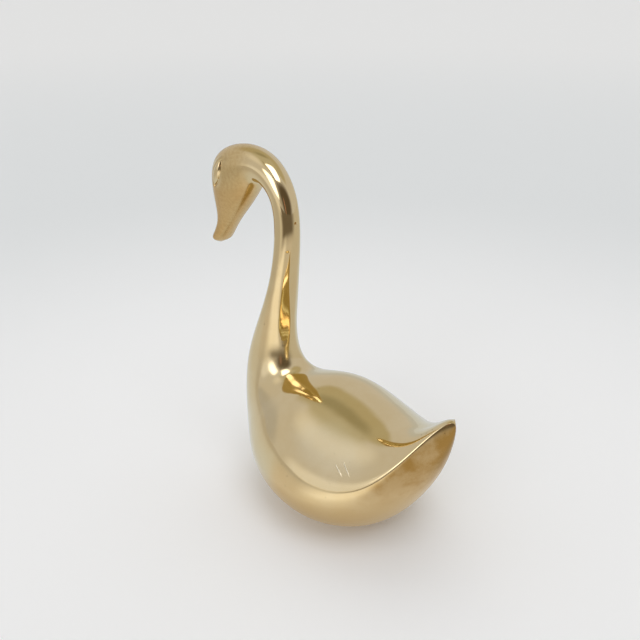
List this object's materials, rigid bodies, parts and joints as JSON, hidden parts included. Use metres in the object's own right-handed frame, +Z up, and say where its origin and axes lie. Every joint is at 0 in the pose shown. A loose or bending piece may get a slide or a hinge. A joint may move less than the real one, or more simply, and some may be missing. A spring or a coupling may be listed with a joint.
{
  "type": "swan figurine",
  "caption": "Polished brass swan ornament with a hollow bowl-like body, pointed upturned tail and slim arched neck, standing on a felt pad.",
  "frame": {"origin": "middle of the felt pad's underside, which is the face the figurine stands on", "axes": "+Z up; the swan faces -Y with its tail towards +Y; +X is the swan's left side"},
  "size_m": [0.081, 0.155, 0.1705],
  "materials": {
    "polished_brass": "hand-polished pale brass with soft golden patina blotches, fine rubbing scratches and a few tiny casting pits",
    "turned_brass": "turned and left unpolished, dull",
    "felt": "dark green wool felt"
  },
  "bodies": {
    "root": {"body_left_shell": "polished_brass", "body_right_shell": "polished_brass", "neck_and_head": "polished_brass", "base_plug": "turned_brass", "base_felt_pad": "felt"}
  },
  "joints": []
}
